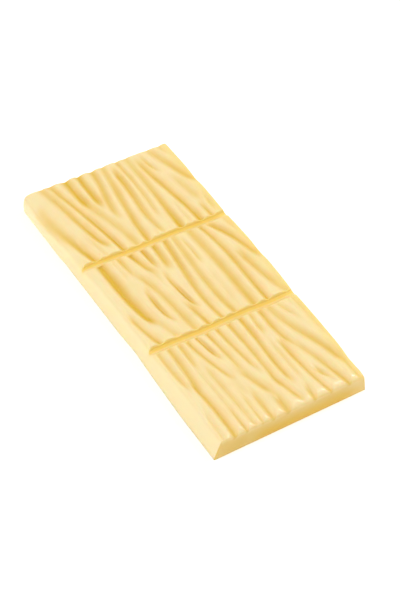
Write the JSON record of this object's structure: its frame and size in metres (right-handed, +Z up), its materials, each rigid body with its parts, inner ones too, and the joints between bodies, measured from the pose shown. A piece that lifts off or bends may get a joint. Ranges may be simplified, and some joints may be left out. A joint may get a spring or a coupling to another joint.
{
  "type": "white chocolate bar",
  "caption": "Thin moulded bar of pale white chocolate, its top combed with wood-grain furrows and scored across so that it snaps into panels.",
  "frame": {"origin": "middle of the flat underside, at the bottom of the bounding box", "axes": "+Z up out of the relief, +Y along the bar's length, +X across its width"},
  "size_m": [0.0495, 0.1, 0.0066],
  "materials": {
    "white_chocolate": "satin, pale cream-yellow, as cast from a polished mould"
  },
  "bodies": {
    "root": {"chocolate_bar": "white_chocolate"}
  },
  "joints": []
}
